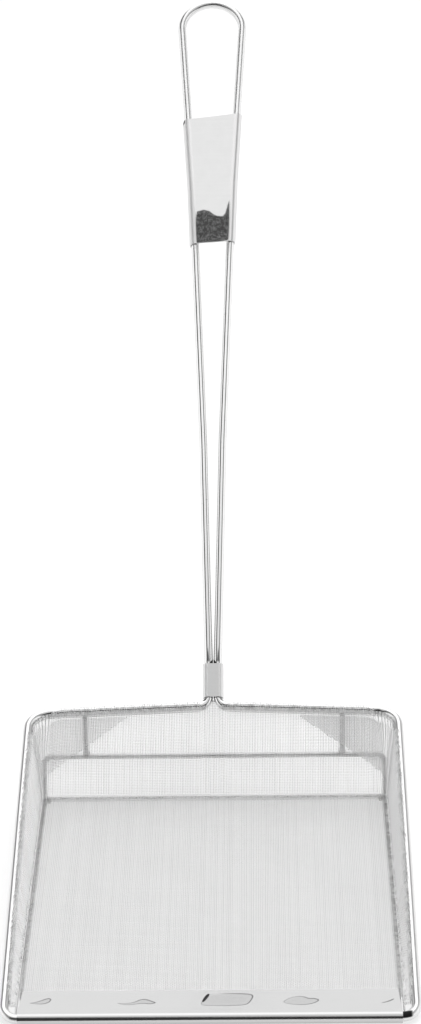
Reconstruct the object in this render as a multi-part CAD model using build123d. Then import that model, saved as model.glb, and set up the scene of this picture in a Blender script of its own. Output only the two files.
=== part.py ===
from build123d import *
import math
import os

os.makedirs("parts", exist_ok=True)

# Millimetres. X runs across the scoop, Y from its front lip to the handle, Z up.
# The origin is on the resting surface, under the middle of the front rim wire.

# Rim wire, which goes all round the scoop
rim_wire_diameter = 4.8
rim_width = 200.2            # between wire centres
rim_depth = 206.5            # front wire to the middle of the back wire, level
rim_rise = 48.0              # middle of the back wire above the front wire
rim_back_bow = 5.1           # middle of the back behind its corners
rim_rear_corner_radius = 12.0
rim_front_corner_radius = 7.0
rim_exit_radius = 5.4        # where the rim turns up into the handle

# Handle wire, a long loop of the same wire as the rim
handle_length = 462.0        # back wire's centre to the tip of the hanging loop
handle_angle = 38.0          # above the level
leg_gap = 0.2                # between the two legs inside the ferrule
handle_waist_length = 159.0  # along the handle, where the legs begin to open wider
handle_waist_half = 5.4      # leg's centre to the handle's centre line there
handle_spread_to_tip = 133.0  # inside the grip, where they open wider still
handle_spread_half = 11.7
hanging_loop_radius = 18.4
leg_bend_radius = 400.0

# Ferrule, a sheet sleeve closed round both legs
ferrule_length = 20.5
ferrule_sheet = 0.6
ferrule_seam = 0.5

# Grip, a tapered sheet whose sides are curled round the legs
grip_length = 86.0
grip_lead = 38.0             # from its lower end to where the legs spread
grip_sheet = 0.7
grip_curl_gap = 0.4          # from a curl's edge underneath to the leg's centre line
grip_end_slant = 7.0         # degrees, both ends cut alike

# Lip, a sheet folded over the front wire and the mesh edge
lip_end_inset = 7.1          # rim side wire's centre to the lip's end
lip_sheet = 0.6
lip_upper_reach = 19.0       # front wire's centre to the rear edge of the upper flap
lip_shoulder_reach = 5.6     # where the upper flap comes down on the mesh
lip_lower_reach = 18.0
lip_flat_reach = 9.0         # the flat that the lip rests on
lip_rise_run = 4.5           # run of the bend that brings the lower flap up to the mesh
lip_bend_radius = 1.2
lip_notch_margin = 0.2
spot_count = 5
spot_end_inset = 9.0         # lip's end to the middle of the last spot
spot_length = 15.0
spot_width = 7.0
spot_reach = 10.5
spot_hollow = 0.2

# Cradle wire, cross wire and struts, which carry the mesh from outside
support_wire_diameter = 3.2
arm_inset = 6.85             # rim side wire's centre to the arm's centre
arm_bend_inset = 15.8        # middle of the back wire to the arms' bend, level
crossing_inset = 6.1         # middle of the back wire to the crossing, level
crossing_drop = 28.2         # and down
cradle_bend_radius = 4.0
cradle_corner_radius = 4.6
cross_wire_outset = 0.4      # the arms' bend to the cross wire
strut_inset = 30.1           # rim side wire's centre to the strut's
weld_bead_radius = 1.35
weld_bead_stand = 0.9        # wire's surface to the centre of the cross wire's beads
strut_bead_radius = 2.1
strut_bead_offset = 0.9

# Woven wire mesh, one cut sheet folded into the scoop
mesh_thickness = 0.8
floor_fold_outset = 1.25     # the floor's side fold, outside the arm's centre
mesh_crease_ease = 0.5       # the crease, inside the arms' bend
mesh_crease_radius = 1.6
mesh_middle_radius = 4.5
mesh_panel_margin = 0.6      # the corner cloth's straight ends
wrap_lower_angle = 45.0      # mesh wrapped round the inner side of the rim
wrap_upper_angle = 84.0
side_front_angle = 20.0      # where the side wall meets the wrap at the front corner
flap_along_rim = 50.0        # corner flap, from the side wall along the rim
flap_down_corner = 38.0      # and down the corner
grid_columns = 12            # openings across a panel, a plain grid in place of the weave
floor_grid_rows = 11
side_grid_rows = 3
grid_bar = 5.0               # between two openings
grid_margin = 2.0            # from an opening to what holds or meets the panel

# Clearances and the overrun of cuts
fit_clearance = 0.1
overrun = 2.0

rim_radius = rim_wire_diameter / 2
support_radius = support_wire_diameter / 2
half_width = rim_width / 2
half_mesh = mesh_thickness / 2
front_height = lip_sheet + fit_clearance + rim_radius
lip_length = rim_width - 2 * lip_end_inset
spot_pitch = (lip_length - 2 * spot_end_inset) / (spot_count - 1)
handle_spread_length = handle_length - handle_spread_to_tip
grip_start = handle_spread_length - grip_lead
leg_half = rim_radius + leg_gap / 2
mesh_seat = support_radius + fit_clearance + half_mesh
floor_height = support_radius + mesh_seat
arm_half = half_width - arm_inset
arm_bend_reach = rim_depth - arm_bend_inset
cross_wire_reach = arm_bend_reach + cross_wire_outset
crossing_reach = rim_depth - crossing_inset
crossing_height = front_height + rim_rise - crossing_drop
fold_half = arm_half + floor_fold_outset

tilt = math.atan2(rim_rise, rim_depth)
rim_length = math.hypot(rim_rise, rim_depth)
corner_length = rim_length - rim_back_bow
rear_centre = Vector(0, rim_depth, front_height + rim_rise)
rim_plane = Plane(
    origin=(0, 0, front_height), x_dir=(1, 0, 0), z_dir=(0, -math.sin(tilt), math.cos(tilt))
)
handle_rise = math.radians(handle_angle)
handle_plane = Plane(
    origin=rear_centre, x_dir=(1, 0, 0), z_dir=(0, -math.sin(handle_rise), math.cos(handle_rise))
)


def wire_along(path, radius):
    """A round wire whose centre follows the path."""
    start = Plane(origin=path @ 0, z_dir=path % 0)
    return sweep(start * Circle(radius), path=path)


def mirrored(solid):
    return mirror(solid, Plane.YZ)


# Rim and handle

def bend_reach():
    """How far the rim's turn into the handle uses up of the leg, from the bend's corner."""
    run = rim_plane.from_local_coords((-half_width, corner_length, 0)) - rear_centre
    leg = handle_plane.from_local_coords((0, rim_length, 0)) - rear_centre
    turn = math.radians(180 - run.get_angle(leg))
    return rim_exit_radius * math.tan(turn / 2)


ferrule_start = bend_reach() + fit_clearance
wire_joint = ferrule_start + ferrule_length / 2


def rim_wire():
    """The rim: up out of the ferrule's left side, round the scoop and back on its right."""
    left = [
        handle_plane.from_local_coords((-leg_half, wire_joint, 0)),
        handle_plane.from_local_coords((-leg_half, 0, 0)),
        rim_plane.from_local_coords((-half_width, corner_length, 0)),
        rim_plane.from_local_coords((-half_width, 0, 0)),
    ]
    right = [Vector(-point.X, point.Y, point.Z) for point in reversed(left)]
    radii = [rim_exit_radius, rim_rear_corner_radius, rim_front_corner_radius]
    path = FilletPolyline(*left, *right, radius=radii + radii[::-1])
    return wire_along(Wire(path.edges()), rim_radius)


loop_centre = handle_length - rim_radius - hanging_loop_radius


def leg_half_at(along):
    """Half the spacing of the leg centres at a place along the handle, its bends left sharp."""
    places = [
        (0, leg_half),
        (ferrule_start + ferrule_length, leg_half),
        (handle_waist_length, handle_waist_half),
        (handle_spread_length, handle_spread_half),
        (loop_centre, leg_at_loop()[0]),
    ]
    for (start, half_start), (end, half_end) in zip(places, places[1:]):
        if along <= end:
            return half_start + (half_end - half_start) * (along - start) / (end - start)
    return half_end


def leg_at_loop():
    """Where a leg meets the hanging loop, and the angle at which it opens there."""
    to_centre = loop_centre - handle_spread_length
    opening = math.asin(hanging_loop_radius / math.hypot(handle_spread_half, to_centre))
    opening -= math.atan2(handle_spread_half, to_centre)
    half = hanging_loop_radius * math.cos(opening)
    return half, loop_centre - hanging_loop_radius * math.sin(opening), opening


def handle_wire():
    """The handle: two legs that open towards a round hanging loop, in one plane."""
    half, along, opening = leg_at_loop()
    left = FilletPolyline(
        (-leg_half, wire_joint),
        (-leg_half, ferrule_start + ferrule_length),
        (-handle_waist_half, handle_waist_length),
        (-handle_spread_half, handle_spread_length),
        (-half, along),
        radius=leg_bend_radius,
    )
    turn = math.degrees(opening)
    loop = CenterArc((0, loop_centre), hanging_loop_radius, 180 + turn, -180 - 2 * turn)
    path = handle_plane * Curve(left.edges() + loop.edges() + mirrored(left).edges())
    return wire_along(Wire(path.edges()), rim_radius)


def across_handle(along):
    """The plane square to the handle at a place along it."""
    origin = handle_plane.from_local_coords((0, along, 0))
    return Plane(origin=origin, x_dir=(1, 0, 0), z_dir=handle_plane.y_dir)


def sleeve_section(along, radius):
    return across_handle(along) * SlotCenterToCenter(2 * leg_half_at(along), 2 * radius)


def ferrule():
    """The ferrule: a flat sleeve round both legs, with its seam underneath."""
    bore = rim_radius + fit_clearance
    section = sleeve_section(ferrule_start, bore + ferrule_sheet)
    section -= sleeve_section(ferrule_start, bore)
    sleeve = extrude(section, amount=ferrule_length)
    middle = handle_plane.from_local_coords((0, ferrule_start + ferrule_length / 2, -rim_radius))
    place = Plane(origin=middle, x_dir=(1, 0, 0), z_dir=handle_plane.z_dir)
    return sleeve - place * Box(ferrule_seam, ferrule_length + 2 * overrun, rim_wire_diameter)


def grip_sleeve():
    """The grip: a sheet that widens with the legs, curled round them, its ends cut askew."""
    bore = rim_radius + 2 * fit_clearance
    skew = grip_length * math.tan(math.radians(grip_end_slant))
    stations = [grip_start - skew, handle_spread_length, grip_start + grip_length + skew]
    outer = loft([sleeve_section(at, bore + grip_sheet) for at in stations], ruled=True)
    inner = loft([sleeve_section(at, bore) for at in stations], ruled=True)
    reach = hanging_loop_radius + rim_wire_diameter + grip_sheet
    rise = reach * math.tan(math.radians(grip_end_slant))
    end = grip_start + grip_length
    outline = Polyline(
        (-reach, grip_start - rise),
        (reach, grip_start + rise),
        (reach, end + rise),
        (-reach, end - rise),
        close=True,
    )
    span = extrude(handle_plane * make_face(outline), amount=rim_wire_diameter, both=True)
    right = [(leg_half_at(at) - grip_curl_gap, at) for at in stations]
    left = [(-across, at) for across, at in reversed(right)]
    underneath = extrude(handle_plane * make_face(Polyline(*right, *left, close=True)), amount=-reach)
    return ((outer - inner) & span) - underneath


# Front lip

def lip_plate():
    """The lip: folded round the front wire, the mesh edge between its two flaps."""
    sheet_half = lip_sheet / 2
    fold = rim_radius + fit_clearance + sheet_half
    upper = floor_height + half_mesh + fit_clearance + sheet_half
    under = floor_height - half_mesh - fit_clearance - sheet_half
    drop = upper - front_height
    slope = math.atan2(drop, lip_shoulder_reach)
    touch = slope + math.acos(fold / math.hypot(drop, lip_shoulder_reach))
    top = (fold * math.cos(touch), front_height + fold * math.sin(touch))
    side = Plane(origin=(-lip_length / 2, 0, 0), x_dir=(0, 1, 0), z_dir=(1, 0, 0))
    lower_flap = FilletPolyline(
        (lip_lower_reach, under),
        (lip_flat_reach + lip_rise_run, under),
        (lip_flat_reach, sheet_half),
        (0, sheet_half),
        radius=lip_bend_radius,
    )
    fold_end = math.degrees(touch)
    nose = CenterArc((0, front_height), fold, -90, fold_end - 270)
    upper_flap = FilletPolyline(
        top, (lip_shoulder_reach, upper), (lip_upper_reach, upper), radius=lip_bend_radius
    )
    middle = Wire(lower_flap.edges() + nose.edges() + upper_flap.edges())
    outline = middle.offset_2d(sheet_half, kind=Kind.INTERSECTION, side=Side.BOTH)
    plate = extrude(side * make_face(outline), amount=lip_length)

    notch_width = arm_half - support_radius - lip_notch_margin
    notch_reach = lip_lower_reach + overrun
    for sign in (-1, 1):
        notch = Box(
            notch_width, notch_reach, floor_height,
            align=(Align.MIN if sign > 0 else Align.MAX, Align.MIN, Align.MAX),
        )
        plate -= Pos(sign * notch_width, rim_radius / 2, floor_height) * notch

    for index in range(spot_count):
        across = (index - (spot_count - 1) / 2) * spot_pitch
        hollow = extrude(SlotOverall(spot_length, spot_width), amount=overrun)
        plate -= Pos(across, spot_reach, upper + sheet_half - spot_hollow) * hollow
    return plate


# Wires under the mesh

arm_end_reach = rim_radius + 2 * fit_clearance


def cradle_wire():
    """The cradle: two arms under the floor, bent up and joined across behind the back wall."""
    left = [
        Vector(-arm_half, arm_end_reach, support_radius),
        Vector(-arm_half, arm_bend_reach, support_radius),
        Vector(-arm_half, crossing_reach, crossing_height),
    ]
    right = [Vector(-point.X, point.Y, point.Z) for point in reversed(left)]
    radii = [cradle_bend_radius, cradle_corner_radius]
    path = FilletPolyline(*left, *right, radius=radii + radii[::-1])
    return wire_along(Wire(path.edges()), support_radius)


def cross_wire():
    """The cross wire: behind the crease of floor and back wall, from arm to arm."""
    span = 2 * arm_half - support_wire_diameter
    rod = Cylinder(support_radius, span, rotation=(0, 90, 0))
    return Pos(0, cross_wire_reach, support_radius) * rod


def rim_back_at(across):
    """The centre of the back rim wire at a distance from the middle."""
    share = abs(across) / half_width
    return rim_plane.from_local_coords((across, rim_length - rim_back_bow * share, 0))


wrap_seat = rim_radius + 2 * fit_clearance + mesh_thickness + half_mesh
wall_inset = wrap_seat * math.cos(math.radians(wrap_lower_angle))
wall_drop = wrap_seat * math.sin(math.radians(wrap_lower_angle))
wall_lean = (crossing_reach - arm_bend_reach) / (crossing_height - support_radius)
middle_back = crossing_reach - mesh_seat / math.cos(math.atan(wall_lean))

# The struts run parallel to the back wall's upper half
strut_across = half_width - strut_inset
wall_middle = Vector(-strut_across, middle_back, crossing_height)
wall_top = rim_back_at(-strut_across) - rim_plane.y_dir * wall_inset - rim_plane.z_dir * wall_drop
strut_line = (wall_top - wall_middle).normalized()
strut_foot = Vector(-strut_across, crossing_reach + fit_clearance, crossing_height)
strut_head = strut_foot + strut_line * (rim_back_at(-strut_across) - strut_foot).dot(strut_line)


def strut():
    """The left strut: butted between the cradle's crossing and the back rim."""
    start = strut_foot + strut_line * (support_radius + fit_clearance)
    end = strut_head - strut_line * (rim_radius + fit_clearance)
    path = Line(start, end)
    return wire_along(Wire([path]), support_radius)


# Mesh. The back and corners stand on three levels: the crease, the crossing and the rim.

def grid_spans(start, end, count):
    """Where the openings between evenly spaced bars begin and end."""
    pitch = (end - start + grid_bar) / count
    return [(start + index * pitch, start + (index + 1) * pitch - grid_bar) for index in range(count)]


crease_level = floor_height - half_mesh
crease_back = middle_back - (crossing_height - crease_level) * wall_lean - mesh_crease_ease
corner_across = half_width - rim_rear_corner_radius - mesh_panel_margin
rim_corner_start = (corner_length - rim_rear_corner_radius) * math.cos(tilt)
side_end = min(crease_back - mesh_crease_radius, rim_corner_start) - mesh_panel_margin


def top_half():
    return half_width - wall_inset


def level_planes():
    """The plane of each level with the mesh's corner, its middle back and its corner radius."""
    def lift(height):
        return Plane(origin=(0, 0, height), x_dir=(1, 0, 0), z_dir=(0, 0, 1))

    rim_level = rim_plane.offset(-wall_drop)
    rim_start = (side_end - rim_level.origin.Y) / math.cos(tilt)
    rise = front_height + side_end * math.tan(tilt) - wall_drop - crease_level
    share = (crossing_height - crease_level) / rise
    middle_half = fold_half + (top_half() - fold_half) * share
    return [
        (lift(crease_level), fold_half, crease_back, crease_back, mesh_crease_radius, side_end),
        (lift(crossing_height), middle_half, middle_back, middle_back, mesh_middle_radius, side_end),
        (
            rim_level, top_half(),
            corner_length - wall_inset, rim_length - wall_inset,
            rim_rear_corner_radius - wall_inset, rim_start,
        ),
    ]


def back_section(level, shift, across_start, across_end):
    """The back wall's thin section on one level, moved inwards by the shift."""
    plane, half, corner_back, centre_back, _, _ = level
    low, high = shift - half_mesh, shift + half_mesh

    def back_at(across):
        return centre_back - (centre_back - corner_back) * abs(across) / half

    steps = [across_start, across_end]
    if across_start < 0 < across_end:
        steps.insert(1, 0)
    near = [(across, back_at(across) - high) for across in steps]
    far = [(across, back_at(across) - low) for across in reversed(steps)]
    return plane * make_face(Polyline(*near, *far, close=True))


def back_panel(shift, across_start, across_end):
    sections = [back_section(level, shift, across_start, across_end) for level in level_planes()]
    return loft(sections, ruled=True)


def mesh_back():
    """The back wall: folded up at the crease, bent over the cradle's crossing."""
    clear = support_radius + grid_margin
    low = crossing_height - clear
    high = front_height + rim_rise - wall_drop / math.cos(tilt) - grid_margin
    rows = [(floor_height + grid_margin, low), *grid_spans(crossing_height + clear, high, 2)]
    flap_edge = top_half() - flap_along_rim - grid_margin
    reach = corner_across - grid_margin
    openings = []
    for left, right in grid_spans(-reach, reach, grid_columns):
        for bottom, top in rows:
            if bottom < low or max(-left, right) < flap_edge:
                centre = Pos((left + right) / 2, (bottom + top) / 2)
                openings.append(centre * Rectangle(right - left, top - bottom))
    front = Plane(origin=(0, crease_back - overrun, 0), x_dir=(1, 0, 0), z_dir=(0, -1, 0))
    depth = rim_depth - crease_back + 2 * overrun
    return back_panel(0, -corner_across, corner_across) - extrude(
        front * Sketch(children=openings), amount=-depth
    )


def corner_section(level, shift):
    """The left corner's thin section on one level: a straight, a bend and a straight."""
    plane, half, corner_back, centre_back, radius, start = level
    back = centre_back - (centre_back - corner_back) * corner_across / half

    def outline(inset, ends):
        bend = (-half + inset, back - inset)
        points = [(-half + inset, start), bend, (-corner_across, back - inset)]
        return FilletPolyline(*(points if ends else points[::-1]), radius=radius - inset)

    outer = outline(shift - half_mesh, True)
    inner = outline(shift + half_mesh, False)
    joins = [Line(outer @ 1, inner @ 0), Line(inner @ 1, outer @ 0)]
    return plane * make_face(outer.edges() + inner.edges() + joins)


def mesh_corner():
    """The left rear corner: sharp at the crease and as round as the rim at the top."""
    return loft([corner_section(level, 0) for level in level_planes()], ruled=True)


def mesh_floor():
    """The floor: flat from the front wire to the crease, carried by the arms."""
    front = rim_radius + half_mesh + fit_clearance
    width = 2 * (fold_half - half_mesh)
    depth = crease_back - half_mesh - front
    panel = Box(width, depth, mesh_thickness, align=(Align.CENTER, Align.MIN, Align.CENTER))
    rear_corners = panel.edges().filter_by(Axis.Z).group_by(Axis.Y)[-1]
    panel = Pos(0, front, floor_height) * fillet(rear_corners, mesh_crease_radius)
    reach = arm_half - support_radius - grid_margin
    openings = [
        Pos((left + right) / 2, (near + far) / 2) * Rectangle(right - left, far - near)
        for left, right in grid_spans(-reach, reach, grid_columns)
        for near, far in grid_spans(
            lip_upper_reach + grid_margin, crease_back - half_mesh - grid_margin, floor_grid_rows
        )
    ]
    return panel - extrude(Sketch(children=openings), amount=2 * floor_height)


def side_section(along, angle):
    """The left side wall's section square to Y, from the floor's fold to the rim's wrap."""
    foot = Vector(-fold_half, floor_height)
    inset = wrap_seat * math.cos(math.radians(angle))
    drop = wrap_seat * math.sin(math.radians(angle))
    on_rim = along / math.cos(tilt) - drop * math.tan(tilt)
    edge = rim_plane.from_local_coords((inset - half_width, on_rim, -drop))
    head = Vector(edge.X, edge.Z)
    face_normal = (head - foot).normalized().rotate(Axis.Z, 90) * half_mesh
    corners = [foot - face_normal, head - face_normal, head + face_normal, foot + face_normal]
    plane = Plane(origin=(0, along, 0), x_dir=(1, 0, 0), z_dir=(0, -1, 0))
    return plane * make_face(Polyline(*corners, close=True))


def side_top_at(along):
    """How high an opening in the side wall may reach at a place along it."""
    return front_height + along * math.tan(tilt) - wall_drop / math.cos(tilt) - grid_margin


def mesh_side():
    """The left side wall: flat at the lip and steeper towards the back."""
    front = side_section(rim_front_corner_radius, side_front_angle)
    wall = loft([front, side_section(side_end, wrap_lower_angle)], ruled=True)
    columns = grid_spans(lip_upper_reach + grid_margin, side_end - grid_margin, grid_columns)
    rows = grid_spans(floor_height + grid_margin, side_top_at(side_end), side_grid_rows)
    openings = []
    for near, far in columns:
        for bottom, top in rows:
            near_top, far_top = min(top, side_top_at(near)), min(top, side_top_at(far))
            if near_top - bottom > grid_margin:
                corners = [(near, bottom), (far, bottom), (far, far_top), (near, near_top)]
                openings.append(make_face(Polyline(*corners, close=True)))
    outside = Plane(origin=(-half_width, 0, 0), x_dir=(0, 1, 0), z_dir=(1, 0, 0))
    return wall - extrude(outside * Sketch(children=openings), amount=half_width - fold_half + overrun)


def mesh_wrap():
    """The left wrap: the mesh edge turned up round the inner side of the rim wire."""
    start = rim_front_corner_radius
    apex = handle_plane.from_local_coords((-leg_half, 0, 0))
    corner = rim_plane.from_local_coords((-half_width, corner_length, 0))
    run = (apex - corner).normalized()
    path = FilletPolyline(
        rim_plane.from_local_coords((-half_width, start, 0)),
        corner,
        apex - run * bend_reach(),
        radius=rim_rear_corner_radius,
    )
    path = Wire(path.edges())
    inner = rim_radius + fit_clearance
    outer = inner + mesh_thickness
    sweep_angle = wrap_lower_angle + wrap_upper_angle
    arcs = [
        CenterArc((0, 0), inner, -wrap_upper_angle, sweep_angle),
        CenterArc((0, 0), outer, -wrap_upper_angle, sweep_angle),
    ]
    joins = [Line(arcs[0] @ 0, arcs[1] @ 0), Line(arcs[0] @ 1, arcs[1] @ 1)]
    place = Plane(origin=path @ 0, x_dir=(1, 0, 0), z_dir=path % 0)
    return sweep(place * make_face(arcs + joins), path=path)


def mesh_flap():
    """The left corner flap: spare mesh folded flat against the inside of the back wall."""
    shift = mesh_thickness + fit_clearance
    inner_end = flap_along_rim - top_half()
    layer = back_panel(shift, -corner_across, inner_end)
    top = front_height + rim_rise - wall_drop
    reach = rim_depth + rim_wire_diameter
    outline = Polyline(
        (-top_half(), top - flap_down_corner),
        (inner_end, top),
        (inner_end, top + overrun),
        (-top_half(), top + overrun),
        close=True,
    )
    front = Plane(origin=(0, 0, 0), x_dir=(1, 0, 0), z_dir=(0, -1, 0))
    return layer & extrude(front * make_face(outline), amount=-reach)


# Weld beads

def bead(place, radius, facing, rods):
    """A weld bead: a ball cut by the wires it joins, its seam turned to its free side."""
    ball = Pos(place) * Rot(0, 0, facing) * Sphere(radius)
    for rod in rods:
        ball -= rod
    return ball


def strut_welds():
    """Beads at the head and foot of both struts, on the side away from the mesh."""
    outwards = Vector(0, strut_bead_offset, 0)
    head = strut_head - strut_line * rim_radius
    foot = strut_foot + strut_line * support_radius
    rods = [rim_wire(), cradle_wire(), strut()]
    left = [bead(place + outwards, strut_bead_radius, 90, rods) for place in (head, foot)]
    return left + [mirrored(weld) for weld in left]


def cross_wire_welds():
    """Beads in the front corners where the cross wire meets the arms."""
    clear = support_radius + weld_bead_stand
    place = Vector(clear - arm_half, cross_wire_reach - clear, support_radius)
    left = bead(place, weld_bead_radius, -45, [cradle_wire(), cross_wire()])
    return [left, mirrored(left)]


def cradle_welds():
    """Beads at the front ends of the arms, on their outer side, against the front wire."""
    reach = arm_end_reach + weld_bead_radius / 2
    place = Vector(arm_half + support_radius, reach, support_radius)
    right = bead(place, weld_bead_radius, 90, [cradle_wire(), rim_wire()])
    return [mirrored(right), right]


left_strut = strut()
left_corner = mesh_corner()
left_side = mesh_side()
left_wrap = mesh_wrap()
left_flap = mesh_flap()

nodes = {
    "rim_wire": rim_wire(),
    "handle_wire": handle_wire(),
    "ferrule": ferrule(),
    "grip_sleeve": grip_sleeve(),
    "lip_plate": lip_plate(),
    "cradle_wire": cradle_wire(),
    "cross_wire": cross_wire(),
    "strut_left": left_strut,
    "strut_right": mirrored(left_strut),
    "mesh_floor": mesh_floor(),
    "mesh_back": mesh_back(),
    "mesh_corner_left": left_corner,
    "mesh_corner_right": mirrored(left_corner),
    "mesh_side_left": left_side,
    "mesh_side_right": mirrored(left_side),
    "mesh_wrap_left": left_wrap,
    "mesh_wrap_right": mirrored(left_wrap),
    "mesh_flap_left": left_flap,
    "mesh_flap_right": mirrored(left_flap),
    "strut_welds": strut_welds(),
    "cross_wire_welds": cross_wire_welds(),
    "cradle_welds": cradle_welds(),
}

for name, shape in nodes.items():
    pieces = shape if isinstance(shape, list) else [shape]
    solids = [solid for piece in pieces for solid in piece.solids()]
    node = solids[0] if len(solids) == 1 else Compound(children=solids)
    node.label = name
    export_step(node, f"parts/{name}.step")
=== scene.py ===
import bpy
import math
import numpy as np
from mathutils import Matrix, Vector


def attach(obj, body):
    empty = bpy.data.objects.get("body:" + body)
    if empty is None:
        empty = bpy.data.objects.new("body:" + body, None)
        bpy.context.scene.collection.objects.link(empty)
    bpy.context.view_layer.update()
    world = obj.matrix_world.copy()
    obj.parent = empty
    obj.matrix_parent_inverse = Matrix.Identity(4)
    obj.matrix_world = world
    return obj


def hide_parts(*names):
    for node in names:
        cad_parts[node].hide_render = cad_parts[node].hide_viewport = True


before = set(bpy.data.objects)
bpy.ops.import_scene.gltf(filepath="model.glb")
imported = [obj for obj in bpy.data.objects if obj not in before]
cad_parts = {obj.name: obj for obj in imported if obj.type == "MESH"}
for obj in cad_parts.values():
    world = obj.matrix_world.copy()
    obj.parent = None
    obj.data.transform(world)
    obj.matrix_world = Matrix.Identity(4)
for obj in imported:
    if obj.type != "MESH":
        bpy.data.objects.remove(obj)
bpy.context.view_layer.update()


# Rim wire and handle wire. Both are 4.8 mm drawn steel wire, bent cold to shape and
# plated bright. The rim's two ends turn up side by side into the ferrule, where the
# handle's legs begin.

handle_root = np.array([0, 0.2065, 0.0511])      # between the rim's two ends
handle_slope = math.radians(38)
handle_way = np.array([0, math.cos(handle_slope), math.sin(handle_slope)])
handle_up = np.array([0, -math.sin(handle_slope), math.cos(handle_slope)])
ferrule_top = 0.0236         # along the handle, from its root


class Finish:
    """A number, colour or vector in a finish, on which sums make their own nodes."""

    def __init__(self, tree, socket=None):
        self.tree = tree
        self.socket = socket

    def node(self, kind, settings, inputs, output=0):
        """Any node: its type, its settings, and the values or links of its sockets."""
        made = self.tree.nodes.new(kind)
        for name, value in settings.items():
            setattr(made, name, value)
        for name, value in inputs.items():
            if isinstance(value, Finish):
                self.tree.links.new(value.socket, made.inputs[name])
            else:
                made.inputs[name].default_value = value
        return Finish(self.tree, made.outputs[output])

    def math(self, operation, first, second=0.0):
        return self.node("ShaderNodeMath", {"operation": operation}, {0: first, 1: second})

    def __add__(self, other):
        return self.math("ADD", self, other)

    def __sub__(self, other):
        return self.math("SUBTRACT", self, other)

    def __rsub__(self, other):
        return self.math("SUBTRACT", other, self)

    def __mul__(self, other):
        return self.math("MULTIPLY", self, other)

    def __abs__(self):
        return self.math("ABSOLUTE", self)

    __radd__ = __add__
    __rmul__ = __mul__

    def parts(self):
        """The three parts of a vector."""
        return (self.node("ShaderNodeSeparateXYZ", {}, {"Vector": self}, n) for n in range(3))

    def between(self, low, high):
        """0 below low, 1 above high and a soft step between them."""
        return self.node(
            "ShaderNodeMapRange", {"interpolation_type": "SMOOTHSTEP"},
            {"Value": self, "From Min": low, "From Max": high},
        )

    def within(self, rise, fall):
        """1 from the end of the rise to the start of the fall, and 0 beyond them."""
        return self.between(*rise) * (1 - self.between(*fall))

    def mix(self, first, second):
        """From the first colour to the second as this number goes from 0 to 1."""
        return self.node(
            "ShaderNodeMix", {"data_type": "RGBA"}, {0: self, 6: first, 7: second}, 2
        )

    def to_output(self, kind="ShaderNodeOutputMaterial"):
        """Lays this shader to the output of its finish."""
        out = self.tree.nodes.new(kind)
        self.tree.links.new(self.socket, out.inputs["Surface"])


def grey(level, warmth=0.0):
    """A nearly neutral colour of a plain steel."""
    return (level * (1 + warmth), level, level * (1 - warmth), 1)


def new_finish(name):
    """An empty material, with its nodes ready to be laid."""
    material = bpy.data.materials.new(name)
    material.use_nodes = True
    material.node_tree.nodes.clear()
    return material, Finish(material.node_tree)


def noise_at(steel, scale, stretch=(1, 1, 1), turn=(0, 0, 0), detail=3.0):
    """Noise in object space, drawn out along one way by the stretch."""
    where = steel.node("ShaderNodeTexCoord", {}, {}, "Object")
    laid = steel.node(
        "ShaderNodeMapping", {}, {"Vector": where, "Rotation": turn, "Scale": stretch}
    )
    return steel.node(
        "ShaderNodeTexNoise", {},
        {"Vector": laid, "Scale": scale, "Detail": detail, "Roughness": 0.6},
    )


def metal(steel, colour, roughness, height, depth, **fixed):
    """The surface of a metal finish, with its bump, laid to the output."""
    bump = steel.node(
        "ShaderNodeBump", {}, {"Strength": 1.0, "Distance": depth, "Height": height}
    )
    surface = {"Base Color": colour, "Metallic": 1.0, "Roughness": roughness, "Normal": bump}
    steel.node("ShaderNodeBsdfPrincipled", {}, {**surface, **fixed}).to_output()


def painted_dark_above_ferrule(x, up_handle):
    """Black runs on either leg above the ferrule, a painted dark reflection, and black painted
    shade in the groove between the legs.
    """
    beside = abs(x)
    run_middle = 0.0028
    rise = (up_handle - (ferrule_top + 0.0007)) * 118        # 1 where the runs end
    runs = (abs(beside - run_middle) + rise * 0.0008).between(0.0006, 0.0012)
    runs = (1 - runs) * rise.between(0.0, 0.15)
    groove = (beside + (up_handle - ferrule_top) * 0.65).between(0.0020, 0.0025)
    groove = (1 - groove) * up_handle.within((0.0234, 0.0237), (0.0262, 0.0278))
    return runs * 0.8 + groove


def painted_dark_at_corners(x, y, z):
    """A black patch of painted shade on the front of the right corner, and a thin black stroke
    on the left one.
    """
    patch = x.within((0.0926, 0.0929), (0.0970, 0.0984)) * z.between(0.0037, 0.0043)
    stroke = (x * -1).within((0.0926, 0.0932), (0.0962, 0.0970))
    stroke = stroke * (1 - abs(z - 0.0047).between(0.0002, 0.0004))
    return (patch + stroke * 0.8) * (1 - y.between(0.0006, 0.0018))


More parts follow.
